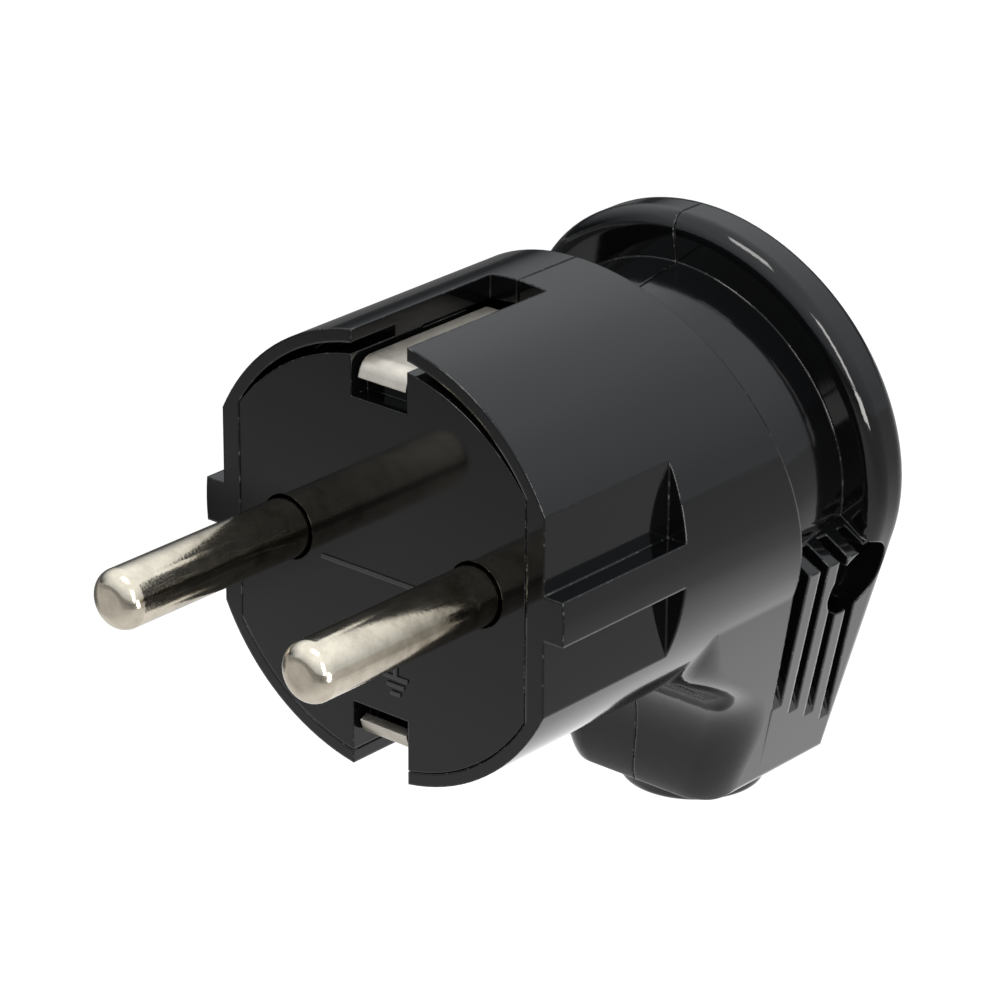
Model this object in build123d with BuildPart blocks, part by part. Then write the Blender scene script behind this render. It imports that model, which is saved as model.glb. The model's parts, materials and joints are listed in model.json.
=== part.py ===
from build123d import *
from math import asin, atan2, cos, hypot, radians, sin, sqrt, tan
import os

# Angled earthed two-pin plug with side earth contacts, in millimetres.
# The origin is the middle of the engagement face, between the pins.
# +X is right seen from the front, +Y runs back into the plug, +Z is up.

# Contact pins
pin_diameter = 4.8
pin_reach = 19.0
pin_spacing = 19.0
pin_nose_radius = 1.3
pin_shank_diameter = 4.3
pin_flange_diameter = 7.6
pin_flange_thickness = 2.5
pin_neck_diameter = 6.0
pin_neck_stand = 1.2
pin_bore_gap = 0.2

# Casing body
body_radius = 18.0
casing_wall = 2.0
parting_gap = 0.12
flat_half_width = 16.1
flat_length = 14.3
flat_wall = 1.7
guide_rib_height = 3.6
slot_width = 5.6
slot_length = 15.7
shoulder_tilt = 16.7
shoulder_place = 27.9

# Neck and grip flange
neck_tilt = 13.5
neck_behind = 0.4
neck_drop = 0.35
neck_radius = 14.8
neck_taper = 4.3
neck_wall = 2.2
neck_length = 14.0
flange_lip = 0.25
flange_tilt = 10.5
flange_back_tilt = 9.0
flange_front = 37.5
flange_thickness = 4.3
flange_front_rounding = 1.4
flange_back_rounding = 1.6

# Outlet block under the body
outlet_behind = 0.8
outlet_half_width = 7.85
outlet_bottom = 29.7
outlet_lead = 6.7
outlet_floor = 5.7
outlet_wall = 2.0
outlet_back_wall = 1.4
outlet_foot_rounding = 1.2
outlet_rounding = 3.2
outlet_inset = 0.25

# Outlet block's level sections from its foot up into the body: height as a ratio of the block's,
# and how far the front has come forward
outlet_height_ratios = (0.0, 0.2, 0.35, 0.5, 0.757, 1.0)
outlet_front_advances = (0.0, 0.0, 0.4, 3.2, 10.8, 16.3)

# Grip fins in the waist
fin_count = 3
fin_width = 1.3
fin_groove = 1.15
fin_floor_half_width = 11.2
fin_floor_step = 0.58
fin_top = 5.2
ramp_slope = 39.0

# Outlet bush
bush_collar_radius = 6.05
bush_collar_height = 1.9
bush_neck_radius = 5.0
bush_flange_lip = 0.4
bush_flange_height = 1.6
bush_bore_radius = 4.2
bush_rounding = 0.5

# Contact carrier
carrier_rim = 1.05
carrier_face_thickness = 5.0
carrier_groove_width = 3.0
carrier_groove_depth = 1.8
carrier_flat_bite = 0.7
carrier_depth = 13.0
carrier_crown_gap = 0.8
slot_pocket_depth = 5.5
back_plate_thickness = 2.0
back_plate_gap = 0.9

# Earth strap
strap_width = 4.7
strap_thickness = 0.8
strap_depth = 2.5
strap_setback = 0.65
strap_lean = 0.4
strap_tip_height = 1.4
strap_bend_radius = 0.9
strap_collar_diameter = 5.0
strap_collar_length = 1.4
earth_terminal_height = 7.5

# Terminal screws and washers
terminal_thread = 3.5
terminal_screw_length = 5.0
terminal_head_diameter = 6.0
terminal_head_height = 2.2
washer_width = 7.4
washer_thickness = 1.0
washer_corner_radius = 0.8

# Back plate screws
plate_thread = 2.5
plate_screw_length = 7.0
plate_head_diameter = 4.6
plate_head_height = 1.6
plate_screw_edge = 0.5
plate_screw_angle = 50.0

# Casing screw and nut
casing_thread = 3.0
casing_head_diameter = 5.8
casing_head_height = 2.2
casing_screw_behind = 1.25
casing_screw_drop = 9.75
casing_pocket_radius = 3.3
casing_boss_radius = 4.4
casing_seat = 9.5
nut_width = 5.5
nut_thickness = 2.4

# Cord clamp
cord_groove_radius = 3.2
clamp_gap = 1.4
clamp_thread = 3.0
clamp_head_diameter = 4.0
clamp_head_height = 1.5
clamp_screw_spacing = 10.6
clamp_screw_margin = 0.8

# Clearances and screw drives
fit_gap = 0.1
seat_gap = 0.25
thread_gap = 0.05
drive_slot_width = 0.9
drive_slot_depth = 1.0
head_rounding = 0.2
tip_chamfer = 0.12

# Places worked out from the driving dimensions
overshoot = 2 * body_radius
pin_x = pin_spacing / 2
flange_radius = body_radius + flange_lip
flange_back = flange_front + flange_thickness / cos(radians(flange_tilt))
flange_middle = (flange_front + flange_back) / 2
neck_place = flange_front + neck_behind
outlet_place = flange_front + outlet_behind
outlet_front = flange_front - outlet_lead
casing_screw_place = flange_front + casing_screw_behind
foot_reach = hypot(outlet_half_width, outlet_bottom)
foot_angle = atan2(outlet_half_width, outlet_bottom)
side_angle = asin(flange_radius / foot_reach) - foot_angle
side_touch = (flange_radius * cos(side_angle), -flange_radius * sin(side_angle))
side_stand = flange_lip + outlet_inset
strap_middle = body_radius - strap_depth - strap_thickness / 2
strap_inner = strap_middle - strap_thickness / 2
strap_bend = strap_setback + strap_lean
slot_pocket_floor = body_radius - slot_pocket_depth
slot_pocket_length = strap_bend + strap_thickness
carrier_radius = body_radius - carrier_rim
carrier_half_width = flat_half_width - flat_wall
cavity_radius = body_radius - casing_wall
cavity_start = carrier_face_thickness + carrier_groove_width
back_plate_radius = strap_inner - back_plate_gap
plate_screw_ring = back_plate_radius - plate_head_diameter / 2 - plate_screw_edge
plate_screw_x = plate_screw_ring * cos(radians(plate_screw_angle))
plate_screw_z = plate_screw_ring * sin(radians(plate_screw_angle))
plate_back = carrier_depth + back_plate_thickness
pin_back = plate_back + pin_neck_stand
chamber_half_width = outlet_half_width + outlet_floor * tan(side_angle) - outlet_wall
chamber_floor = outlet_floor - outlet_bottom
chamber_front = outlet_front + outlet_wall
chamber_back = flange_back - outlet_back_wall
chamber_top = -casing_screw_drop
clamp_half_width = chamber_half_width - seat_gap
clamp_bottom = chamber_floor + bush_flange_height + seat_gap
clamp_top = -casing_screw_drop - casing_boss_radius - seat_gap
clamp_front = chamber_front + seat_gap
clamp_back = chamber_back - clamp_top * tan(radians(flange_back_tilt)) - seat_gap
clamp_screw_seat = clamp_front + clamp_head_height
clamp_screw_z = (clamp_bottom + clamp_top) / 2
nut_seat = casing_seat - nut_thickness


def front_plane(y):
    """Plane across the plug at depth y, facing forward, with local axes X and Z."""
    return Plane.XZ.offset(-y)


def spot_plane(x, y, z):
    """Plane at one point, facing back, with local axes X and -Z."""
    return Plane(origin=(x, y, z), x_dir=(1, 0, 0), z_dir=(0, 1, 0))


def tilted_plane(y, tilt, drop=0.0):
    """Plane facing back that leans forward at its top, through depth y on the middle plane."""
    back = (0, cos(radians(tilt)), sin(radians(tilt)))
    return Plane(origin=(0, y, -drop), x_dir=(1, 0, 0), z_dir=back)


def shoulder_y(z):
    """Depth of the body's sloping rear face at height z."""
    return shoulder_place - z * tan(radians(shoulder_tilt))


def chamber_back_y(z):
    """Depth of the wiring chamber's rear wall at height z."""
    return chamber_back - z * tan(radians(flange_back_tilt))


def handle_outline(plane):
    """Handle's outline on a plane: round above, with straight sides down to the outlet's foot."""
    touch_x, touch_z = side_touch
    foot_x, foot_z = outlet_half_width, -outlet_bottom
    with BuildSketch(plane) as outline:
        with BuildLine():
            ThreePointArc((-touch_x, touch_z), (0, flange_radius), (touch_x, touch_z))
            Line((touch_x, touch_z), (foot_x, foot_z))
            Line((foot_x, foot_z), (-foot_x, foot_z))
            Line((-foot_x, foot_z), (-touch_x, touch_z))
        make_face()
    return outline.sketch


def outlet_outline(height_ratio, advance):
    """Outlet block's level section at a ratio of its height, with both front corners rounded."""
    height = height_ratio * (side_touch[1] + outlet_bottom)
    half_width = outlet_half_width + height * tan(side_angle) - side_stand * height_ratio**2
    with BuildSketch(Plane.XY.offset(height - outlet_bottom)) as outline:
        with Locations((0, outlet_front - advance)):
            Rectangle(2 * half_width, overshoot, align=(Align.CENTER, Align.MIN))
        fillet(outline.vertices().sort_by(Axis.Y)[:2], radius=outlet_rounding)
    return outline.sketch


def flat_sided_disc(plane, radius, half_width):
    """Disc on a plane, with its left and right sides cut off flat."""
    with BuildSketch(plane) as disc:
        Circle(radius)
        Rectangle(2 * half_width, 2 * radius, mode=Mode.INTERSECT)
    return disc.sketch


def slotted_screw(seat, thread, length, head_diameter, head_height):
    """Cheese-head screw whose head stands on the seat plane, with its shank behind the plane."""
    with BuildPart() as screw:
        with BuildSketch(seat):
            Circle(head_diameter / 2)
        extrude(amount=head_height)
        top_edges = screw.faces().sort_by(Axis(seat.origin, seat.z_dir))[-1].edges()
        fillet(top_edges, radius=head_height * head_rounding)
        with BuildSketch(seat):
            Circle(thread / 2)
        extrude(amount=-length)
        tip_edges = screw.faces().sort_by(Axis(seat.origin, seat.z_dir))[0].edges()
        chamfer(tip_edges, length=thread * tip_chamfer)
        with BuildSketch(seat.offset(head_height - drive_slot_depth)):
            Rectangle(2 * head_diameter, drive_slot_width)
        extrude(amount=2 * drive_slot_depth, mode=Mode.SUBTRACT)
    return screw


def square_washer(seat, thread):
    """Square clamp washer that lies on the seat plane."""
    with BuildPart() as washer:
        with BuildSketch(seat):
            RectangleRounded(washer_width, washer_width, washer_corner_radius)
            Circle(thread / 2 + fit_gap, mode=Mode.SUBTRACT)
        extrude(amount=washer_thickness)
    return washer


def save(builder, node):
    """Label a finished piece and write it out."""
    builder.part.label = node
    export_step(builder.part, f"parts/{node}.step")


os.makedirs("parts", exist_ok=True)

# Planes of the sloping ledges where the finger groove runs out above the fins
ramp_normal = (sin(radians(ramp_slope)), cos(radians(ramp_slope)))
ramp_planes = [
    Plane(
        origin=(side * side_touch[0], 0, side_touch[1]),
        x_dir=(0, 1, 0),
        z_dir=(side * ramp_normal[0], 0, ramp_normal[1]),
    )
    for side in (1, -1)
]
shoulder_plane = tilted_plane(shoulder_place, shoulder_tilt)
neck_plane = tilted_plane(neck_place, neck_tilt, neck_drop)

# Outlet block ahead of the waist, which comes forward as it runs up into the body
with BuildPart() as outlet_block:
    loft([outlet_outline(*section) for section in zip(outlet_height_ratios, outlet_front_advances)])

# Body with the outlet block, cut off behind along the sloping shoulder, with a fillet between them
with BuildPart() as body:
    with BuildSketch(front_plane(0)):
        Circle(body_radius)
    extrude(amount=-2 * overshoot)
    add(outlet_block.part)
    split(bisect_by=shoulder_plane, keep=Keep.BOTTOM)
    wall_faces = body.faces().filter_by(GeomType.CYLINDER)
    block_faces = body.faces().filter_by(GeomType.BSPLINE)
    blend_edges = wall_faces.edges().filter_by(lambda edge: edge in block_faces.edges())
    fillet(blend_edges, radius=outlet_rounding)

# Lower part of the handle behind the shoulder, for the fins
with BuildPart() as fin_block:
    extrude(handle_outline(front_plane(0)), amount=-2 * overshoot)
    split(bisect_by=shoulder_plane, keep=Keep.TOP)
    split(bisect_by=tilted_plane(flange_middle, flange_tilt), keep=Keep.BOTTOM)
    for ramp_plane in ramp_planes:
        split(bisect_by=ramp_plane, keep=Keep.BOTTOM)

# Round grip flange, leaning forward at its top
with BuildPart() as flange:
    extrude(handle_outline(front_plane(0)), amount=-2 * overshoot)
    split(bisect_by=tilted_plane(flange_front, flange_tilt), keep=Keep.TOP)
    split(bisect_by=tilted_plane(flange_back, flange_back_tilt), keep=Keep.BOTTOM)
    lean = Axis((0, flange_front, 0), tilted_plane(0, flange_tilt).z_dir)
    fillet(flange.faces().sort_by(lean)[0].edges(), radius=flange_front_rounding)
    fillet(flange.faces().sort_by(lean)[-1].edges(), radius=flange_back_rounding)

# Conical neck that makes the finger groove, square to its own leaning axis
neck_front_radius = neck_radius + neck_length * tan(radians(neck_taper))
with BuildPart() as neck:
    with BuildSketch(neck_plane):
        Circle(neck_radius)
    with BuildSketch(neck_plane.offset(-neck_length)):
        Circle(neck_front_radius)
    loft()
    with BuildSketch(neck_plane):
        Circle(neck_radius)
    extrude(amount=flange_thickness / 2)

# Outside of the casing, still whole
with BuildPart() as casing:
    add(body.part)
    add(neck.part)
    add(flange.part)
    add(fin_block.part)

    # Grooves between the fins, parallel to the body's rear face
    for side in (1, -1):
        for index in range(fin_count + 1):
            start = index * (fin_width + fin_groove)
            groove_floor = fin_floor_half_width - index * fin_floor_step
            with BuildSketch(Plane.YZ.offset(side * groove_floor)):
                with BuildLine():
                    Polyline(
                        (shoulder_y(-fin_top) + start, -fin_top),
                        (shoulder_y(-fin_top) + start + fin_groove, -fin_top),
                        (shoulder_y(-outlet_bottom) + start + fin_groove, -outlet_bottom),
                        (shoulder_y(-outlet_bottom) + start, -outlet_bottom),
                        close=True,
                    )
                make_face()
            extrude(amount=side * overshoot, mode=Mode.SUBTRACT)

    # Lower corners rounded along the foot
    corner_run = outlet_foot_rounding / tan((radians(90) + side_angle) / 2)
    corner_reach = hypot(corner_run, outlet_foot_rounding)
    for side in (1, -1):
        centre = (side * (outlet_half_width - corner_run), outlet_foot_rounding - outlet_bottom)
        upper = (
            side * (outlet_half_width + corner_run * sin(side_angle)),
            corner_run * cos(side_angle) - outlet_bottom,
        )
        middle = (
            centre[0] + side * outlet_foot_rounding * corner_run / corner_reach,
            centre[1] - outlet_foot_rounding * outlet_foot_rounding / corner_reach,
        )
        lower = (centre[0], -outlet_bottom)
        with BuildSketch(front_plane(outlet_front)):
            with BuildLine():
                ThreePointArc(upper, middle, lower)
                Polyline(
                    lower,
                    (lower[0], lower[1] - outlet_foot_rounding),
                    (upper[0] + side * outlet_foot_rounding, lower[1] - outlet_foot_rounding),
                    (upper[0] + side * outlet_foot_rounding, upper[1]),
                    upper,
                )
            make_face()
        extrude(amount=-overshoot, mode=Mode.SUBTRACT)

    # Side flats with a guide rib left standing in the middle of each
    flat_height = sqrt(body_radius**2 - flat_half_width**2)
    flat_reach = body_radius - flat_half_width
    with BuildSketch(front_plane(0)):
        with GridLocations(2 * flat_half_width + 2 * flat_reach, 0, 2, 1):
            Rectangle(2 * flat_reach, 2 * flat_height + flat_reach)
            Rectangle(2 * flat_reach, guide_rib_height, mode=Mode.SUBTRACT)
    extrude(amount=-flat_length, mode=Mode.SUBTRACT)

    # Seat for the carrier, with the rib that bites into its groove
    extrude(flat_sided_disc(front_plane(0), carrier_radius, carrier_half_width),
            amount=-carrier_face_thickness, mode=Mode.SUBTRACT)
    extrude(flat_sided_disc(front_plane(0), carrier_radius - carrier_groove_depth,
                            carrier_half_width - carrier_flat_bite),
            amount=-cavity_start, mode=Mode.SUBTRACT)

# Wiring space inside: body cavity, neck cavity and the chamber above the outlet
with BuildPart() as body_cavity:
    extrude(flat_sided_disc(front_plane(cavity_start), cavity_radius, carrier_half_width), amount=-overshoot)
    split(bisect_by=shoulder_plane.offset(-casing_wall), keep=Keep.BOTTOM)

with BuildPart() as neck_cavity:
    extrude(flat_sided_disc(neck_plane, neck_radius - neck_wall, chamber_half_width), amount=-neck_length)

with BuildPart() as chamber:
    with BuildSketch(Plane.YZ):
        with BuildLine():
            Polyline(
                (chamber_front, chamber_floor),
                (chamber_front, chamber_top),
                (chamber_back_y(chamber_top), chamber_top),
                (chamber_back_y(chamber_floor), chamber_floor),
                close=True,
            )
        make_face()
    extrude(amount=chamber_half_width, both=True)

# Both casing halves share everything up to the screw's own pockets
with BuildPart() as hollow_casing:
    add(casing.part)
    add(body_cavity.part, mode=Mode.SUBTRACT)
    add(neck_cavity.part, mode=Mode.SUBTRACT)
    add(chamber.part, mode=Mode.SUBTRACT)

    # Bosses for the casing screw, and its through hole
    with BuildSketch(Plane.YZ):
        with Locations((casing_screw_place, -casing_screw_drop)):
            Circle(casing_boss_radius)
    extrude(amount=casing_seat, both=True)
    with BuildSketch(Plane.YZ):
        with Locations((casing_screw_place, -casing_screw_drop)):
            Circle(casing_thread / 2 + fit_gap)
    extrude(amount=overshoot, both=True, mode=Mode.SUBTRACT)
    for side in (1, -1):
        with BuildSketch(Plane.YZ.offset(side * casing_seat)):
            with Locations((casing_screw_place, -casing_screw_drop)):
                Circle(casing_pocket_radius)
        extrude(amount=side * overshoot, mode=Mode.SUBTRACT)

    # Earth slots, open at the front and outwards
    for side in (1, -1):
        with BuildSketch(front_plane(0)):
            with Locations((0, side * (slot_pocket_floor + slot_pocket_depth))):
                Rectangle(slot_width, 2 * slot_pocket_depth)
        extrude(amount=-slot_length, mode=Mode.SUBTRACT)

    # Hole for the bush in the outlet's floor
    with BuildSketch(Plane.XY.offset(-outlet_bottom)):
        with Locations((0, outlet_place)):
            Circle(bush_neck_radius + fit_gap)
    extrude(amount=outlet_floor, mode=Mode.SUBTRACT)

with BuildPart() as left_casing_half:
    add(hollow_casing.part)
    split(bisect_by=Plane.YZ.offset(-parting_gap / 2), keep=Keep.BOTTOM)
save(left_casing_half, "left_casing_half")

with BuildPart() as right_casing_half:
    add(hollow_casing.part)
    split(bisect_by=Plane.YZ.offset(parting_gap / 2), keep=Keep.TOP)
    with BuildSketch(Plane.YZ.offset(nut_seat)):
        with Locations((casing_screw_place, -casing_screw_drop)):
            RegularPolygon(nut_width / 2 + fit_gap, 6, major_radius=False)
    extrude(amount=nut_thickness, mode=Mode.SUBTRACT)
save(right_casing_half, "right_casing_half")

# Casing screw from the left, and its nut in the right half
with BuildPart() as casing_nut:
    with BuildSketch(Plane.YZ.offset(nut_seat)):
        with Locations((casing_screw_place, -casing_screw_drop)):
            RegularPolygon(nut_width / 2, 6, major_radius=False)
            Circle(casing_thread / 2 + thread_gap, mode=Mode.SUBTRACT)
    extrude(amount=nut_thickness)
save(casing_nut, "casing_nut")

casing_screw_seat = Plane(
    origin=(-casing_seat, casing_screw_place, -casing_screw_drop), x_dir=(0, 1, 0), z_dir=(-1, 0, 0)
)
casing_screw = slotted_screw(
    casing_screw_seat, casing_thread, 2 * casing_seat, casing_head_diameter, casing_head_height
)
save(casing_screw, "casing_screw")

# Bush that lines the cord outlet, clamped by the two halves
with BuildPart() as outlet_bush:
    with BuildSketch(Plane.XY.offset(-outlet_bottom - bush_collar_height)):
        with Locations((0, outlet_place)):
            Circle(bush_collar_radius)
    extrude(amount=bush_collar_height)
    fillet(outlet_bush.faces().sort_by(Axis.Z)[0].edges(), radius=bush_rounding)
    with BuildSketch(Plane.XY.offset(-outlet_bottom)):
        with Locations((0, outlet_place)):
            Circle(bush_neck_radius)
    extrude(amount=outlet_floor)
    with BuildSketch(Plane.XY.offset(chamber_floor)):
        with Locations((0, outlet_place)):
            Circle(bush_neck_radius + bush_flange_lip)
    extrude(amount=bush_flange_height)
    with BuildSketch(Plane.XY):
        with Locations((0, outlet_place)):
            Circle(bush_bore_radius)
    extrude(amount=-overshoot, mode=Mode.SUBTRACT)
save(outlet_bush, "outlet_bush")

# Contact carrier: face plate, groove for the casing's rib, and body
face_radius = carrier_radius - fit_gap
face_x = carrier_half_width - fit_gap
face_z = sqrt(face_radius**2 - face_x**2)
with BuildPart() as contact_carrier:
    with BuildSketch(front_plane(0)):
        with BuildLine():
            ThreePointArc((-face_x, face_z), (0, face_radius - carrier_crown_gap), (face_x, face_z))
            Line((face_x, face_z), (face_x, -face_z))
            ThreePointArc((face_x, -face_z), (0, -face_radius), (-face_x, -face_z))
            Line((-face_x, -face_z), (-face_x, face_z))
        make_face()
    extrude(amount=-(carrier_face_thickness - fit_gap))
    extrude(
        flat_sided_disc(front_plane(0), face_radius - carrier_groove_depth, face_x - carrier_flat_bite),
        amount=-carrier_depth,
    )
    extrude(
        flat_sided_disc(front_plane(cavity_start + fit_gap), cavity_radius - fit_gap, face_x),
        amount=-(carrier_depth - cavity_start - fit_gap),
    )

    # Earth slots: a deep pocket at the front for the strap's lead-in, and a bed for its arm behind
    for side in (1, -1):
        with BuildSketch(front_plane(0)):
            with Locations((0, side * (slot_pocket_floor + slot_pocket_depth))):
                Rectangle(slot_width, 2 * slot_pocket_depth)
        extrude(amount=-slot_pocket_length, mode=Mode.SUBTRACT)
        with BuildSketch(front_plane(0)):
            with Locations((0, side * (strap_inner - fit_gap + slot_pocket_depth))):
                Rectangle(slot_width, 2 * slot_pocket_depth)
        extrude(amount=-carrier_depth, mode=Mode.SUBTRACT)

    # Pin bores, with seats for the pins' flanges at the back
    with BuildSketch(front_plane(0)):
        with GridLocations(pin_spacing, 0, 2, 1):
            Circle(pin_diameter / 2 + pin_bore_gap)
    extrude(amount=-carrier_depth, mode=Mode.SUBTRACT)
    with BuildSketch(spot_plane(0, carrier_depth, 0)):
        with GridLocations(pin_spacing, 0, 2, 1):
            Circle(pin_flange_diameter / 2 + fit_gap)
    extrude(amount=-pin_flange_thickness, mode=Mode.SUBTRACT)

    # Blind holes for the earth screw's tip and the plate screws
    with BuildSketch(spot_plane(0, carrier_depth, 0)):
        with Locations((0, -earth_terminal_height)):
            Circle(terminal_thread / 2 + fit_gap)
    extrude(amount=-terminal_screw_length, mode=Mode.SUBTRACT)
    with BuildSketch(spot_plane(0, carrier_depth, 0)):
        with Locations((plate_screw_x, -plate_screw_z), (-plate_screw_x, plate_screw_z)):
            Circle(plate_thread / 2 + thread_gap)
    extrude(amount=-plate_screw_length, mode=Mode.SUBTRACT)
save(contact_carrier, "contact_carrier")

# Back plate that closes the carrier over the pins' flanges
with BuildPart() as carrier_back_plate:
    with BuildSketch(spot_plane(0, carrier_depth, 0)):
        Circle(back_plate_radius)
        Rectangle(2 * face_x, 2 * back_plate_radius, mode=Mode.INTERSECT)
        with GridLocations(pin_spacing, 0, 2, 1):
            Circle(pin_neck_diameter / 2 + fit_gap, mode=Mode.SUBTRACT)
        with Locations((0, -earth_terminal_height)):
            Circle(strap_collar_diameter / 2 + fit_gap, mode=Mode.SUBTRACT)
        with Locations((plate_screw_x, -plate_screw_z), (-plate_screw_x, plate_screw_z)):
            Circle(plate_thread / 2 + fit_gap, mode=Mode.SUBTRACT)
    extrude(amount=back_plate_thickness)
save(carrier_back_plate, "carrier_back_plate")

plate_screws = {"upper": (plate_screw_x, plate_screw_z), "lower": (-plate_screw_x, -plate_screw_z)}
for place, (screw_x, screw_z) in plate_screws.items():
    plate_screw_seat = spot_plane(screw_x, plate_back, screw_z)
    plate_screw = slotted_screw(
        plate_screw_seat, plate_thread, plate_screw_length, plate_head_diameter, plate_head_height
    )
    save(plate_screw, f"{place}_back_plate_screw")

# Pins with their clamp washers and terminal screws
for side_name, side in (("left", -1), ("right", 1)):
    with BuildPart() as pin:
        with BuildSketch(spot_plane(side * pin_x, -pin_reach, 0)):
            Circle(pin_diameter / 2)
        extrude(amount=pin_reach)
        fillet(pin.faces().sort_by(Axis.Y)[0].edges(), radius=pin_nose_radius)
        with BuildSketch(spot_plane(side * pin_x, 0, 0)):
            Circle(pin_shank_diameter / 2)
        extrude(amount=carrier_depth)
        pin_rear = spot_plane(side * pin_x, carrier_depth, 0)
        with BuildSketch(pin_rear):
            Circle(pin_flange_diameter / 2)
        extrude(amount=-pin_flange_thickness)
        with BuildSketch(pin_rear):
            Circle(pin_neck_diameter / 2)
        extrude(amount=pin_back - carrier_depth)
        with BuildSketch(pin_rear.offset(pin_back - carrier_depth)):
            Circle(terminal_thread / 2 + thread_gap)
        extrude(amount=-terminal_screw_length, mode=Mode.SUBTRACT)
    save(pin, f"{side_name}_pin")

    washer_seat = spot_plane(side * pin_x, pin_back, 0)
    pin_washer = square_washer(washer_seat, terminal_thread)
    save(pin_washer, f"{side_name}_pin_clamp_washer")

    terminal_screw = slotted_screw(
        washer_seat.offset(washer_thickness),
        terminal_thread,
        terminal_screw_length,
        terminal_head_diameter,
        terminal_head_height,
    )
    save(terminal_screw, f"{side_name}_pin_terminal_screw")

# Earth strap: two arms in the slots, joined by a web behind the back plate
strap_tip = slot_pocket_floor + strap_tip_height
web_y = plate_back + strap_thickness / 2
with BuildPart() as earth_strap:
    with BuildSketch(Plane.YZ):
        with BuildLine():
            FilletPolyline(
                (strap_setback, strap_tip),
                (strap_bend, strap_middle),
                (web_y, strap_middle),
                (web_y, -strap_middle),
                (strap_bend, -strap_middle),
                (strap_setback, -strap_tip),
                radius=strap_bend_radius,
            )
        trace(line_width=strap_thickness)
    extrude(amount=strap_width / 2, both=True)
    earth_spot = spot_plane(0, plate_back, earth_terminal_height)
    with BuildSketch(earth_spot):
        Circle(strap_collar_diameter / 2)
    extrude(amount=-strap_collar_length)
    with BuildSketch(earth_spot):
        Circle(strap_collar_diameter / 2)
    extrude(amount=strap_thickness)
    with BuildSketch(earth_spot):
        Circle(terminal_thread / 2 + thread_gap)
    extrude(amount=terminal_screw_length, both=True, mode=Mode.SUBTRACT)
save(earth_strap, "earth_strap")

earth_washer_seat = earth_spot.offset(strap_thickness)
earth_washer = square_washer(earth_washer_seat, terminal_thread)
save(earth_washer, "earth_clamp_washer")

earth_screw = slotted_screw(
    earth_washer_seat.offset(washer_thickness),
    terminal_thread,
    terminal_screw_length,
    terminal_head_diameter,
    terminal_head_height,
)
save(earth_screw, "earth_terminal_screw")

# Cord clamp: two saddles trapped between the bush and the screw's boss
clamp_spans = {
    "front": (clamp_front, outlet_place - clamp_gap / 2),
    "rear": (outlet_place + clamp_gap / 2, clamp_back),
}
for place, (start_y, end_y) in clamp_spans.items():
    with BuildPart() as cord_clamp:
        with BuildSketch(Plane.XY.offset(clamp_bottom)):
            with Locations((0, (start_y + end_y) / 2)):
                Rectangle(2 * clamp_half_width, end_y - start_y)
            with Locations((0, outlet_place)):
                Circle(cord_groove_radius, mode=Mode.SUBTRACT)
        extrude(amount=clamp_top - clamp_bottom)
        with BuildSketch(front_plane(clamp_front)):
            with Locations((0, clamp_screw_z)):
                with GridLocations(clamp_screw_spacing, 0, 2, 1):
                    Circle(clamp_thread / 2 + thread_gap)
        extrude(amount=-(clamp_back - clamp_front - clamp_screw_margin + fit_gap), mode=Mode.SUBTRACT)
        with BuildSketch(front_plane(clamp_front)):
            with Locations((0, clamp_screw_z)):
                with GridLocations(clamp_screw_spacing, 0, 2, 1):
                    Circle(clamp_head_diameter / 2 + fit_gap)
        extrude(amount=-clamp_head_height, mode=Mode.SUBTRACT)
    save(cord_clamp, f"{place}_cord_clamp")

clamp_screw_length = clamp_back - clamp_screw_margin - clamp_screw_seat
for side_name, side in (("left", -1), ("right", 1)):
    clamp_spot = (side * clamp_screw_spacing / 2, clamp_screw_seat, clamp_screw_z)
    clamp_screw_plane = Plane(origin=clamp_spot, x_dir=(1, 0, 0), z_dir=(0, -1, 0))
    clamp_screw = slotted_screw(
        clamp_screw_plane, clamp_thread, clamp_screw_length, clamp_head_diameter, clamp_head_height
    )
    save(clamp_screw, f"{side_name}_cord_clamp_screw")
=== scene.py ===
# %% [markdown]
# An angled mains plug. The CAD model gives every solid its true shape and size, so this lesson only
# adds what a camera sees: the viewpoint, the light, the finish of each material and the moulded marks.
# Everything is in metres, in the same frame as the solids: the origin is the middle of the plug's
# face, +Y runs back into the plug, and +Z is up.

# %% Load the solids
import bmesh
import bpy
import json
import math
from mathutils import Matrix, Vector


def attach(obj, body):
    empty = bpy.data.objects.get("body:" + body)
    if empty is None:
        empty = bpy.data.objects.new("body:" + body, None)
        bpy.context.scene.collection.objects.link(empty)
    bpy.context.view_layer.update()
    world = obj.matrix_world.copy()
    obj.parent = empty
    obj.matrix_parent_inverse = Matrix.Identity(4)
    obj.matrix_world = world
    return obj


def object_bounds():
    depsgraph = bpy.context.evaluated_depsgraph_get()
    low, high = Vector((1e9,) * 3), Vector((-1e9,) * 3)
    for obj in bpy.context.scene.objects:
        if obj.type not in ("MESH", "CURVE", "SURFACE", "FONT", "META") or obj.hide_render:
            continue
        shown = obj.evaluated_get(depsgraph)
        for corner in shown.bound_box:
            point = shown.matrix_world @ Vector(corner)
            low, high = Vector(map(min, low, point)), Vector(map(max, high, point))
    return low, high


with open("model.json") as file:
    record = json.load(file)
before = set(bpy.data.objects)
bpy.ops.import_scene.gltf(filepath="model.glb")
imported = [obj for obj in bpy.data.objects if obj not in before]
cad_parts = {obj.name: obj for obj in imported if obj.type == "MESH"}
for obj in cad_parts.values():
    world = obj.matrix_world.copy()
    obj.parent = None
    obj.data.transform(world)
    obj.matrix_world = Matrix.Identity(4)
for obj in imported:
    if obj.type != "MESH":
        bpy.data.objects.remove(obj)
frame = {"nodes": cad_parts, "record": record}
cad_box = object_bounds()
MM = 0.001
nodes = frame["nodes"]
slot_of = {part["node"]: part["material_slot"] for part in frame["record"]["subparts"]}
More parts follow.
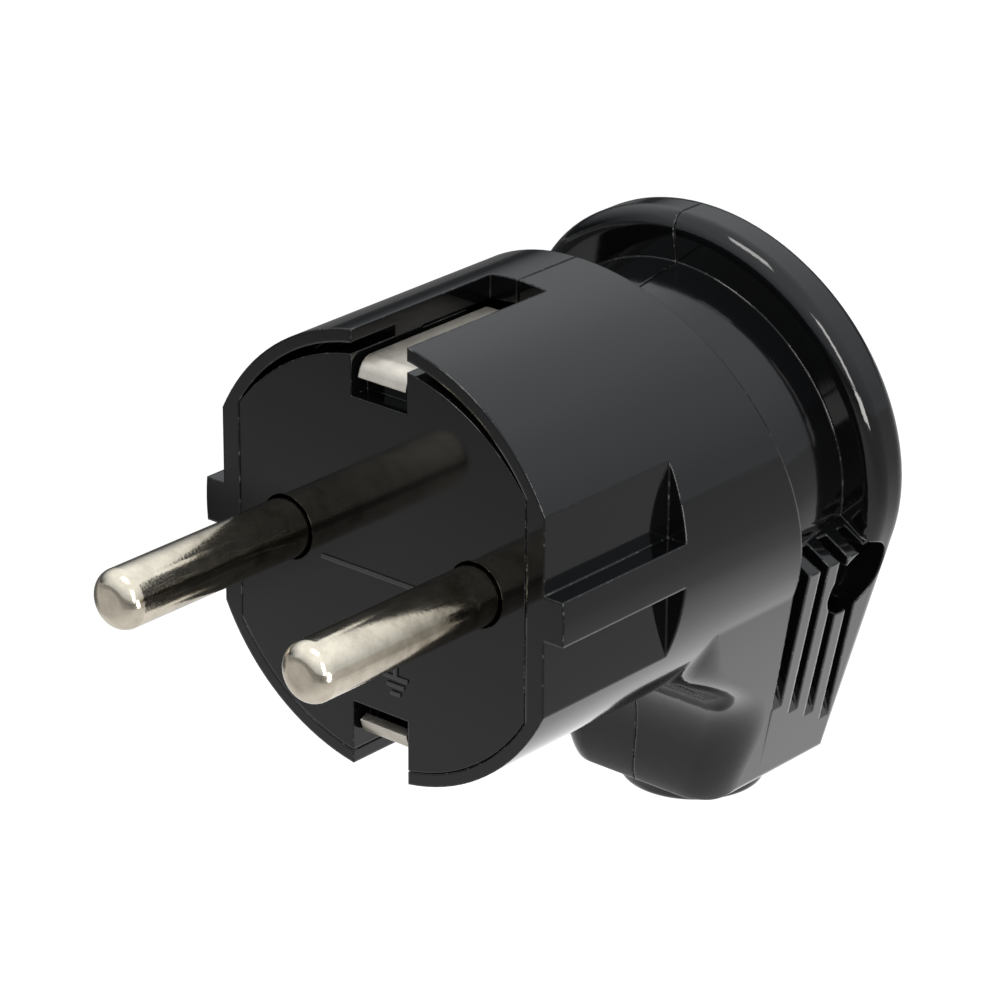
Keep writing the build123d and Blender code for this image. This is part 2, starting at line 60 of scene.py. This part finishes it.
print(len(nodes), "solids, box in mm:", [[round(v / MM, 2) for v in corner] for corner in cad_box])

# %% [markdown]
# The camera. A product photograph is taken from well back with a long lens, so that the pins don't
# grow towards the viewer. The eye point, lens and slight roll below were found by matching the known
# places of the pins and the round face to the photograph, which fixes them without trial and error.

# %% Camera
eye = Vector((222.483, -244.334, 145.973)) * MM
aim = Vector((3.295, 9.916, 2.659)) * MM
camera_roll = math.radians(0.309)

camera_data = bpy.data.cameras.new("product_camera")
camera_data.sensor_fit = "HORIZONTAL"
camera_data.sensor_width = 36.0
camera_data.lens = 173.78
camera = bpy.data.objects.new("product_camera", camera_data)
bpy.context.scene.collection.objects.link(camera)
look = (aim - eye).to_track_quat("-Z", "Y").to_matrix().to_4x4()
camera.matrix_world = Matrix.Translation(eye) @ look @ Matrix.Rotation(camera_roll, 4, "Z")
bpy.context.scene.camera = camera
print("camera", round((aim - eye).length, 3), "m from the plug, lens", camera_data.lens, "mm")

# %% [markdown]
# The stage. Black gloss plastic has almost no colour of its own: what the eye reads as its shape is
# the white floor and the soft lights mirrored in it. A flat pale floor under the plug is therefore as
# much a part of the picture as the plug is. It is one big square, level with the plug's lowest point.

# %% Floor
def level_sheet(name, size, level):
    """Square sheet on a level, kept out of the part as a piece of the stage."""
    mesh = bpy.data.meshes.new(name)
    corners = [(-size / 2, -size / 2), (size / 2, -size / 2), (size / 2, size / 2), (-size / 2, size / 2)]
    mesh.from_pydata([(x, y, level) for x, y in corners], [], [(0, 1, 2, 3)])
    sheet = bpy.data.objects.new(name, mesh)
    bpy.context.scene.collection.objects.link(sheet)
    return sheet


floor_size = 3.0
floor_level = cad_box[0][2]
floor = level_sheet("studio_floor", floor_size, floor_level)
print("floor at", round(floor_level / MM, 2), "mm")


# %% [markdown]
# Every finish starts the same way: a node material with one Principled shader, fed by patterns that
# read Object coordinates. Those are metres in the plug's own frame, so a grain of a tenth of a
# millimetre is a noise scale of about ten thousand, and it stays put when the part is moved.

# %% Helpers for finishes
bevel_samples = 8
corner_start_cosine = 0.99
corner_full_cosine = 0.85


def new_finish(name):
    """Node material with its Principled shader and its Object coordinates."""
    finish = bpy.data.materials.new(name)
    finish.use_nodes = True
    tree = finish.node_tree
    place = tree.nodes.new("ShaderNodeTexCoord").outputs["Object"]
    return finish, tree, tree.nodes["Principled BSDF"], place


def speckle(tree, place, grain, detail=2.0, roughness=0.5):
    """Noise whose lumps are about one grain across, in metres."""
    noise = tree.nodes.new("ShaderNodeTexNoise")
    noise.inputs["Scale"].default_value = 1 / grain
    noise.inputs["Detail"].default_value = detail
    noise.inputs["Roughness"].default_value = roughness
    tree.links.new(place, noise.inputs["Vector"])
    return noise.outputs["Fac"]


def spread(tree, value, from_low, from_high, to_low, to_high):
    """Value moved from one range to another and clamped there."""
    remap = tree.nodes.new("ShaderNodeMapRange")
    remap.inputs["From Min"].default_value = from_low
    remap.inputs["From Max"].default_value = from_high
    remap.inputs["To Min"].default_value = to_low
    remap.inputs["To Max"].default_value = to_high
    tree.links.new(value, remap.inputs["Value"])
    return remap.outputs["Result"]


def combine(tree, operation, first, second):
    """Two values put together by one Math operation."""
    maths = tree.nodes.new("ShaderNodeMath")
    maths.operation = operation
    for socket, value in zip(maths.inputs, (first, second)):
        if isinstance(value, (int, float)):
            socket.default_value = value
        else:
            tree.links.new(value, socket)
    return maths.outputs["Value"]


def blend_colours(tree, factor, first, second):
    """Colour between two fixed colours, by a factor."""
    mix = tree.nodes.new("ShaderNodeMix")
    mix.data_type = "RGBA"
    mix.inputs["A"].default_value = (*first, 1.0)
    mix.inputs["B"].default_value = (*second, 1.0)
    tree.links.new(factor, mix.inputs["Factor"])
    return mix.outputs["Result"]


def worn_corner(tree, radius):
    """Normal with the corners rounded, and how far each point is into such a corner."""
    corner = tree.nodes.new("ShaderNodeBevel")
    corner.samples = bevel_samples
    corner.inputs["Radius"].default_value = radius
    surface = tree.nodes.new("ShaderNodeNewGeometry")
    turn = tree.nodes.new("ShaderNodeVectorMath")
    turn.operation = "DOT_PRODUCT"
    tree.links.new(corner.outputs["Normal"], turn.inputs[0])
    tree.links.new(surface.outputs["Normal"], turn.inputs[1])
    into_corner = spread(tree, turn.outputs["Value"], corner_start_cosine, corner_full_cosine, 0.0, 1.0)
    return corner.outputs["Normal"], into_corner


def roughen(tree, height, strength, depth, normal):
    """Normal bumped by a height pattern of a given depth."""
    bump = tree.nodes.new("ShaderNodeBump")
    bump.inputs["Strength"].default_value = strength
    bump.inputs["Distance"].default_value = depth
    tree.links.new(height, bump.inputs["Height"])
    tree.links.new(normal, bump.inputs["Normal"])
    return bump.outputs["Normal"]


print("helpers ready")


# %% [markdown]
# The black moulding. Hard plastic comes out of a polished steel mould with a deep, slightly uneven
# gloss: the reflections are sharp but wobble a little, fingers leave faint dull smears, and the sharp
# corners lose their skin and catch the light. The colour is nearly black, so the mirror does the work.

# %% Black gloss moulding
chafe_grain = 0.7 * MM
chafed_grey = (0.07, 0.069, 0.066)
chafed_dullness = 0.3
smear_grain = 7 * MM
smear_roughness = (0.045, 0.11)
ripple_grain = 3.5 * MM
ripple_depth = 0.1 * MM
grit_grain = 0.25 * MM
grit_depth = 0.02 * MM
moulding_ior = 1.4


def gloss_moulding(name, colour, corner_radius):
    """Polished black plastic with soft smears, a faint ripple and chafed corners."""
    finish, tree, shader, place = new_finish(name)
    corner_normal, corner = worn_corner(tree, corner_radius)
    chafe_noise = speckle(tree, place, chafe_grain, detail=3.0, roughness=0.65)
    chafed = combine(tree, "MULTIPLY", corner, spread(tree, chafe_noise, 0.54, 0.68, 0.0, 1.0))
    smear_noise = speckle(tree, place, smear_grain, detail=3.0)
    smears = spread(tree, smear_noise, 0.35, 0.7, *smear_roughness)
    dulled = combine(tree, "MULTIPLY", chafed, chafed_dullness)
    ripple = speckle(tree, place, ripple_grain, detail=1.0)
    grit = speckle(tree, place, grit_grain, detail=2.0, roughness=0.6)
    rippled = roughen(tree, ripple, 0.05, ripple_depth, corner_normal)
    gritty = roughen(tree, grit, 0.03, grit_depth, rippled)
    tree.links.new(blend_colours(tree, chafed, colour, chafed_grey), shader.inputs["Base Color"])
    tree.links.new(combine(tree, "ADD", smears, dulled), shader.inputs["Roughness"])
    tree.links.new(gritty, shader.inputs["Normal"])
    shader.inputs["IOR"].default_value = moulding_ior
    return finish


casing_black = gloss_moulding("casing_black", (0.0018, 0.0019, 0.0021), 0.28 * MM)
carrier_black = gloss_moulding("carrier_black", (0.0016, 0.0017, 0.0018), 0.16 * MM)
bush_black = gloss_moulding("bush_black", (0.0018, 0.0019, 0.0021), 0.2 * MM)
# Painted sheen: the marks are the same black plastic as the face, and their lighter colour stands in for
# the light that their raised edges catch.
mark_painted_sheen = gloss_moulding("mark_painted_sheen", (0.022, 0.022, 0.021), 0.1 * MM)
print("black mouldings:", casing_black.name, carrier_black.name, bush_black.name, mark_painted_sheen.name)


# %% [markdown]
# The plated metals. Pins and earth strips are brass under nickel, which is a warm pale grey mirror.
# Sliding in and out of sockets leaves fine scratches along the pin, so the grain is stretched along Y.
# Stretching is a Mapping node that shrinks one axis of the coordinates before the noise reads them.
# A pin's colour darkens along Y towards the face: partly tarnish, and partly a painted reflection of the
# dark face at the pin's base.

# %% Nickel, brass, zinc and inner plastic
rubbed_corner = 0.12 * MM
scratch_grain = 0.09 * MM
scratch_depth = 0.01 * MM
patch_grain = 2.2 * MM
pit_grain = 0.25 * MM
pit_depth = 0.02 * MM
# Darkening of a pin along Y, partly tarnish and partly painted reflection of the dark face: its full share,
# the random patches' share beside it, and the Y where it starts and where it is full.
full_tarnish_and_reflection = 0.7
ramped_patchiness = 0.3
pin_tarnish_reflection_start = -19 * MM
pin_tarnish_reflection_full = -5 * MM
inner_corner = 0.2 * MM
cloud_grain = 4 * MM
mould_grain = 0.3 * MM
mould_depth = 0.03 * MM


def stretched(tree, place, stretch):
    """Coordinates drawn out along chosen axes, for grain that runs one way."""
    mapping = tree.nodes.new("ShaderNodeMapping")
    mapping.inputs["Scale"].default_value = stretch
    tree.links.new(place, mapping.inputs["Vector"])
    return mapping.outputs["Vector"]


def plated_metal(name, clean, tarnished, dull, run, tarnish_reflection_ramp=None):
    """Bright metal with one-way scratches, patchy tarnish, rubbed corners and, when a ramp is given, a
    darkening along Y that is partly tarnish and partly painted reflection.
    """
    finish, tree, shader, place = new_finish(name)
    corner_normal, corner = worn_corner(tree, rubbed_corner)
    scratches = speckle(tree, stretched(tree, place, run), scratch_grain, detail=2.0, roughness=0.6)
    patch_noise = speckle(tree, place, patch_grain, detail=4.0, roughness=0.6)
    patches = spread(tree, patch_noise, 0.42, 0.72, 0.0, 1.0)
    rubbed = combine(tree, "MULTIPLY", patches, combine(tree, "SUBTRACT", 1.0, corner))
    # Painted reflection: the colour darkens along Y towards the face, partly tarnish and partly the dark
    # face mirrored in the pin's base.
    if tarnish_reflection_ramp:
        axes = tree.nodes.new("ShaderNodeSeparateXYZ")
        tree.links.new(place, axes.inputs["Vector"])
        tarnish_and_reflection = spread(tree, axes.outputs["Y"], *tarnish_reflection_ramp, 0.0, full_tarnish_and_reflection)
        rubbed = combine(tree, "ADD", tarnish_and_reflection, combine(tree, "MULTIPLY", rubbed, ramped_patchiness))
    haze = spread(tree, scratches, 0.3, 0.7, *dull)
    scored = roughen(tree, scratches, 0.12, scratch_depth, corner_normal)
    pitted = roughen(tree, speckle(tree, place, pit_grain, detail=2.0), 0.4, pit_depth, scored)
    shader.inputs["Metallic"].default_value = 1.0
    tree.links.new(blend_colours(tree, rubbed, clean, tarnished), shader.inputs["Base Color"])
    tree.links.new(haze, shader.inputs["Roughness"])
    tree.links.new(pitted, shader.inputs["Normal"])
    return finish


def plain_moulding(name, colour, shade):
    """Dull inner plastic with a fine mould texture."""
    finish, tree, shader, place = new_finish(name)
    corner_normal, corner = worn_corner(tree, inner_corner)
    cloud = spread(tree, speckle(tree, place, cloud_grain, detail=3.0), 0.35, 0.7, 0.0, 1.0)
    grain = speckle(tree, place, mould_grain, detail=2.0)
    tree.links.new(blend_colours(tree, cloud, colour, shade), shader.inputs["Base Color"])
    tree.links.new(spread(tree, corner, 0.0, 1.0, 0.55, 0.4), shader.inputs["Roughness"])
    tree.links.new(roughen(tree, grain, 0.15, mould_depth, corner_normal), shader.inputs["Normal"])
    return finish


pin_nickel = plated_metal(
    "pin_nickel", (0.73, 0.66, 0.545), (0.15, 0.125, 0.085), (0.1, 0.2), (1.0, 0.06, 1.0),
    tarnish_reflection_ramp=(pin_tarnish_reflection_start, pin_tarnish_reflection_full),
)
strap_nickel = plated_metal(
    "strap_nickel", (0.58, 0.54, 0.48), (0.47, 0.43, 0.37), (0.36, 0.5), (1.0, 0.08, 1.0)
)
terminal_brass = plated_metal(
    "terminal_brass", (0.70, 0.53, 0.26), (0.52, 0.36, 0.16), (0.2, 0.38), (1.0, 1.0, 0.2)
)
screw_zinc = plated_metal(
    "screw_zinc", (0.58, 0.58, 0.56), (0.44, 0.43, 0.40), (0.2, 0.38), (0.25, 1.0, 1.0)
)
inner_grey = plain_moulding("inner_grey", (0.15, 0.14, 0.13), (0.19, 0.18, 0.165))
print("metals and inner plastic ready")

# %% [markdown]
# Dressing the solids. The record names a material slot for each solid, so one table from slot to
# finish dresses all of them, and a piece can't be forgotten.

# %% Dress the solids
finish_of = {
    "casing": casing_black,
    "carrier": carrier_black,
    "bush": bush_black,
    "pins": pin_nickel,
    "earth_strap": strap_nickel,
    "terminals": terminal_brass,
    "steel_screws": screw_zinc,
    "inner_plastic": inner_grey,
}
for name, solid in nodes.items():
    solid.material_slots[0].material = finish_of[slot_of[name]]
print("dressed", len(nodes), "solids in", len(finish_of), "finishes")


# %% [markdown]
# The joint between the halves. The solids leave a hair's gap between the two halves of the casing, and
# light would shine through it. Real halves often have a lip that laps the joint, so this step makes
# one: the faces of one half that lie on the joint are copied, drawn in a little from the outside so
# that the dark parting line stays, and given a thickness that nearly fills the gap.

# %% Lip in the casing's joint
lip_setback = 0.2 * MM
lip_half_thickness = 0.05 * MM
on_joint = 0.001 * MM
flat_angle = 0.01

lip_maker = bmesh.new()
lip_maker.from_mesh(nodes["right_casing_half"].data)
lip_maker.transform(nodes["right_casing_half"].matrix_world)
joint_x = min(vert.co.x for vert in lip_maker.verts)
off_joint = [face for face in lip_maker.faces if max(vert.co.x for vert in face.verts) > joint_x + on_joint]
bmesh.ops.delete(lip_maker, geom=off_joint, context="FACES")
bmesh.ops.remove_doubles(lip_maker, verts=lip_maker.verts[:], dist=on_joint)
bmesh.ops.dissolve_limit(
    lip_maker, angle_limit=flat_angle, verts=lip_maker.verts[:], edges=lip_maker.edges[:]
)
outer_ring = bmesh.ops.inset_region(
    lip_maker, faces=lip_maker.faces[:], thickness=lip_setback, use_even_offset=True, use_boundary=True
)
bmesh.ops.delete(lip_maker, geom=outer_ring["faces"], context="FACES")
for vert in lip_maker.verts:
    vert.co.x = -lip_half_thickness
swept = bmesh.ops.extrude_face_region(lip_maker, geom=lip_maker.faces[:], use_keep_orig=True)
far_side = [item for item in swept["geom"] if isinstance(item, bmesh.types.BMVert)]
bmesh.ops.translate(lip_maker, vec=(2 * lip_half_thickness, 0.0, 0.0), verts=far_side)
bmesh.ops.recalc_face_normals(lip_maker, faces=lip_maker.faces[:])
lip_mesh = bpy.data.meshes.new("casing_joint_lip")
lip_maker.to_mesh(lip_mesh)
lip_maker.free()
lip_mesh.materials.append(casing_black)
joint_lip = bpy.data.objects.new("casing_joint_lip", lip_mesh)
bpy.context.scene.collection.objects.link(joint_lip)
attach(joint_lip, "root")
print("joint lip of", len(lip_mesh.polygons), "faces at", round(joint_x / MM, 3), "mm")

# %% [markdown]
# The moulded marks. The mould has a raised line across the middle of the face and the plain symbol
# for earth below it. Each is a row of low bars, one bar for a line and shrinking bars for the symbol,
# which is a rule, so Geometry Nodes can draw them all: a row of points with a bar on each, scaled by
# its place in the row.

# %% Node tree for a row of raised bars
def bar_row_tree(finish):
    """Row of bars of one size, each shorter than the one before by a fixed share."""
    tree = bpy.data.node_groups.new("raised_bars", "GeometryNodeTree")
    tree.interface.new_socket("Geometry", in_out="OUTPUT", socket_type="NodeSocketGeometry")
    tree.interface.new_socket("Bars", in_out="INPUT", socket_type="NodeSocketInt")
    tree.interface.new_socket("Bar Size", in_out="INPUT", socket_type="NodeSocketVector")
    tree.interface.new_socket("Pitch", in_out="INPUT", socket_type="NodeSocketVector")
    tree.interface.new_socket("Shortening", in_out="INPUT", socket_type="NodeSocketFloat")
    given = tree.nodes.new("NodeGroupInput")
    result = tree.nodes.new("NodeGroupOutput")
    row = tree.nodes.new("GeometryNodeMeshLine")
    bar = tree.nodes.new("GeometryNodeMeshCube")
    place_bars = tree.nodes.new("GeometryNodeInstanceOnPoints")
    index = tree.nodes.new("GeometryNodeInputIndex")
    length = tree.nodes.new("ShaderNodeMath")
    length.operation = "MULTIPLY_ADD"
    length.inputs[2].default_value = 1.0
    scale = tree.nodes.new("ShaderNodeCombineXYZ")
    scale.inputs["Y"].default_value = 1.0
    scale.inputs["Z"].default_value = 1.0
    realize = tree.nodes.new("GeometryNodeRealizeInstances")
    paint = tree.nodes.new("GeometryNodeSetMaterial")
    paint.inputs["Material"].default_value = finish
    for start, end in (
        (given.outputs["Bars"], row.inputs["Count"]),
        (given.outputs["Pitch"], row.inputs["Offset"]),
        (given.outputs["Bar Size"], bar.inputs["Size"]),
        (row.outputs["Mesh"], place_bars.inputs["Points"]),
        (bar.outputs["Mesh"], place_bars.inputs["Instance"]),
        (index.outputs["Index"], length.inputs[0]),
        (given.outputs["Shortening"], length.inputs[1]),
        (length.outputs["Value"], scale.inputs["X"]),
        (scale.outputs["Vector"], place_bars.inputs["Scale"]),
        (place_bars.outputs["Instances"], realize.inputs["Geometry"]),
        (realize.outputs["Geometry"], paint.inputs["Geometry"]),
        (paint.outputs["Geometry"], result.inputs["Geometry"]),
    ):
        tree.links.new(start, end)
    return tree


mark_tree = bar_row_tree(mark_painted_sheen)
print("mark tree has", len(mark_tree.nodes), "nodes")


# %% [markdown]
# Each mark is made by the same tree with its own sizes. The bars are centred on the face, so half of
# their depth stands above it. The result is kept as a plain mesh, and its maker is thrown away.

# %% Raised marks on the face
def make_mark(name, sizes, spot):
    """Plain mesh of one row of bars, with its first bar at a spot on the face."""
    maker = bpy.data.objects.new(name + "_maker", bpy.data.meshes.new(name + "_maker"))
    bpy.context.scene.collection.objects.link(maker)
    modifier = maker.modifiers.new("bars", "NODES")
    modifier.node_group = mark_tree
    for item in mark_tree.interface.items_tree:
        if item.in_out == "INPUT":
            modifier[item.identifier] = sizes[item.name]
    graph = bpy.context.evaluated_depsgraph_get()
    mesh = bpy.data.meshes.new_from_object(maker.evaluated_get(graph))
    mesh.name = name
    mesh.transform(Matrix.Translation(spot))
    bpy.data.objects.remove(maker)
    mark = bpy.data.objects.new(name, mesh)
    bpy.context.scene.collection.objects.link(mark)
    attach(mark, "root")
    return mark


mark_depth = 0.3 * MM
stroke = 0.3 * MM
divider_length = 11.8 * MM
divider_z = -1.3 * MM
earth_x = 1.6 * MM
earth_bars_z = -9.2 * MM
earth_bar_length = 2.4 * MM
earth_bar_pitch = 0.66 * MM
earth_bar_shortening = 0.3
earth_stem_length = 1.3 * MM
earth_stem_z = -8.4 * MM
single_bar = {"Bars": 1, "Pitch": (0.0, 0.0, 0.0), "Shortening": 0.0}

divider = make_mark("face_divider_line", {
    **single_bar,
    "Bar Size": (divider_length, mark_depth, stroke),
}, Vector((0.0, 0.0, divider_z)))
earth_bars = make_mark("face_earth_bars", {
    "Bars": 3,
    "Bar Size": (earth_bar_length, mark_depth, stroke),
    "Pitch": (0.0, 0.0, -earth_bar_pitch),
    "Shortening": -earth_bar_shortening,
}, Vector((earth_x, 0.0, earth_bars_z)))
earth_stem = make_mark("face_earth_stem", {
    **single_bar,
    "Bar Size": (stroke, mark_depth, earth_stem_length),
}, Vector((earth_x, 0.0, earth_stem_z)))
print("marks:", [(mark.name, len(mark.data.polygons)) for mark in (divider, earth_bars, earth_stem)])

# %% [markdown]
# The light. Small glossy things are photographed on a light table, a white sheet that glows, inside a
# tent of white cloth. The glow keeps the ground under the plug white, and the cloth draws the soft
# sheen on the plastic.

# %% Light table
floor_grain = 2 * MM
floor_glow = 1.0
floor_colour = (0.2, 0.2, 0.2, 1.0)
white = (1.0, 1.0, 1.0, 1.0)
black = (0.0, 0.0, 0.0, 1.0)

floor_white, floor_tree, floor_shader, floor_place = new_finish("floor_white")
tooth = speckle(floor_tree, floor_place, floor_grain, detail=2.0)
floor_tree.links.new(spread(floor_tree, tooth, 0.3, 0.7, 0.55, 0.65), floor_shader.inputs["Roughness"])
floor_shader.inputs["Base Color"].default_value = floor_colour
floor_shader.inputs["Specular IOR Level"].default_value = 0.0
floor_shader.inputs["Emission Color"].default_value = white
floor_shader.inputs["Emission Strength"].default_value = floor_glow
floor.data.materials.append(floor_white)
print("light table glows at", floor_glow)

# %% [markdown]
# A white floor mirrored everywhere would make the black plastic look grey, so photographers shade it
# with cards that stay out of the picture. One sheet just above the floor does that here: the camera
# looks through it, and reflections see it. It is dim far in front and to the left and a little dimmer
# to the right, and it glows most in a round spot under the back of the plug.

# %% Shading card over the floor
card_size = 2.2
card_lift = 0.05 * MM
front_glow_range = (0.3, 0.8)
left_dimming = 0.8
right_dimming = 0.3
spot_centre = (4 * MM, 46 * MM, floor_level)
spot_inner = 12 * MM
spot_outer = 45 * MM
spot_strength = 0.6

card = level_sheet("shading_card", card_size, floor_level + card_lift)
card.visible_camera = False
card_grey, card_tree, card_shader, card_place = new_finish("card_grey")
card_axes = card_tree.nodes.new("ShaderNodeSeparateXYZ")
card_tree.links.new(card_place, card_axes.inputs["Vector"])
front_fade = spread(card_tree, card_axes.outputs["Y"], -110 * MM, -30 * MM, *front_glow_range)
behind_front = spread(card_tree, card_axes.outputs["Y"], -60 * MM, -50 * MM, 0.0, 1.0)
flag_shade = spread(card_tree, card_axes.outputs["X"], -50 * MM, -70 * MM, 0.0, left_dimming)
left_shade = combine(card_tree, "MULTIPLY", behind_front, flag_shade)
right_shade = spread(card_tree, card_axes.outputs["X"], 35 * MM, 65 * MM, 0.0, right_dimming)
shade = combine(card_tree, "ADD", left_shade, right_shade)
sheet_glow = combine(card_tree, "MULTIPLY", front_fade, combine(card_tree, "SUBTRACT", 1.0, shade))
from_spot = card_tree.nodes.new("ShaderNodeVectorMath")
from_spot.operation = "DISTANCE"
from_spot.inputs[1].default_value = spot_centre
card_tree.links.new(card_place, from_spot.inputs[0])
spot_glow = spread(card_tree, from_spot.outputs["Value"], spot_inner, spot_outer, spot_strength, 0.0)
card_glow = combine(card_tree, "ADD", sheet_glow, spot_glow)
card_tree.links.new(card_glow, card_shader.inputs["Emission Strength"])
card_shader.inputs["Emission Color"].default_value = white
card_shader.inputs["Base Color"].default_value = black
card_shader.inputs["Specular IOR Level"].default_value = 0.0
card.data.materials.append(card_grey)
print(card.name, "is seen by the camera:", card.visible_camera)

# %% [markdown]
# The tent is a big sphere that the camera can't see, so it shows only in the reflections. It is
# brightest overhead. Low down it is nearly dark at the left and behind, which gives the plastic its
# black edges, and it glows at the right and in front.

# %% Light tent
tent_radius = 1.3
tent_dark = 0.06
tent_low_strength = 0.8
tent_high_strength = 1.45
low_tint = (0.9, 0.95, 1.0)
high_tint = (0.93, 0.97, 1.0)
rise_start = 0.08 * tent_radius
rise_end = 0.66 * tent_radius
right_start = 0.1 * tent_radius
right_end = 0.6 * tent_radius
front_start = -0.4 * tent_radius
front_end = -0.7 * tent_radius

tent_mesh = bpy.data.meshes.new("light_tent")
sphere = bmesh.new()
bmesh.ops.create_uvsphere(sphere, u_segments=64, v_segments=32, radius=tent_radius)
bmesh.ops.reverse_faces(sphere, faces=sphere.faces)
sphere.to_mesh(tent_mesh)
sphere.free()
tent = bpy.data.objects.new("light_tent", tent_mesh)
bpy.context.scene.collection.objects.link(tent)
tent.visible_camera = False

tent_cloth, tent_tree, tent_shader, tent_place = new_finish("tent_cloth")
tent_axes = tent_tree.nodes.new("ShaderNodeSeparateXYZ")
tent_tree.links.new(tent_place, tent_axes.inputs["Vector"])
low_range = (tent_dark, tent_low_strength)
rise = spread(tent_tree, tent_axes.outputs["Z"], rise_start, rise_end, 0.0, 1.0)
right_glow = spread(tent_tree, tent_axes.outputs["X"], right_start, right_end, *low_range)
front_glow = spread(tent_tree, tent_axes.outputs["Y"], front_start, front_end, *low_range)
low_glow = combine(tent_tree, "MAXIMUM", right_glow, front_glow)
low_part = combine(tent_tree, "MULTIPLY", low_glow, combine(tent_tree, "SUBTRACT", 1.0, rise))
high_part = combine(tent_tree, "MULTIPLY", rise, tent_high_strength)
tent_glow = combine(tent_tree, "ADD", low_part, high_part)
tent_tree.links.new(tent_glow, tent_shader.inputs["Emission Strength"])
tent_tint = blend_colours(tent_tree, rise, low_tint, high_tint)
tent_tree.links.new(tent_tint, tent_shader.inputs["Emission Color"])
tent_shader.inputs["Base Color"].default_value = black
tent_shader.inputs["Specular IOR Level"].default_value = 0.0
tent_mesh.materials.append(tent_cloth)
print("tent of", len(tent_mesh.polygons), "faces")


# %% [markdown]
# Three soft boxes draw the bright streaks: a broad one overhead, a long strip far out on the right,
# and a small lamp at the right that is turned to the flange's edge. The surround is plain white.

# %% Soft boxes and plain surround
lamp_white = (1.0, 0.98, 0.95)
surround_strength = 0.95


def soft_box(name, spot, target, size, watts):
    """Rectangular area light at a spot, turned to a target."""
    lamp = bpy.data.lights.new(name, "AREA")
    lamp.shape = "RECTANGLE"
    lamp.size, lamp.size_y = size
    lamp.energy = watts
    lamp.color = lamp_white
    box = bpy.data.objects.new(name, lamp)
    box.location = spot
    box.rotation_euler = (Vector(target) - Vector(spot)).to_track_quat("-Z", "Y").to_euler()
    bpy.context.scene.collection.objects.link(box)


soft_box("overhead_box", spot=(0.05, -0.16, 0.72), target=(0, 0.01, 0), size=(0.3, 0.22), watts=2.4)
soft_box("side_strip", spot=(0.84, -0.5, 0.36), target=(0, 0.03, 0), size=(0.2, 0.66), watts=6.0)
soft_box(
    "edge_lamp", spot=(0.138, -0.03, -0.012), target=(0.018, 0.037, 0), size=(0.05, 0.038), watts=0.1
)
world = bpy.data.worlds.new("studio_surround")
world.use_nodes = True
surround = world.node_tree.nodes["Background"]
surround.inputs["Color"].default_value = white
surround.inputs["Strength"].default_value = surround_strength
bpy.context.scene.world = world
bpy.context.scene.view_settings.view_transform = "Standard"
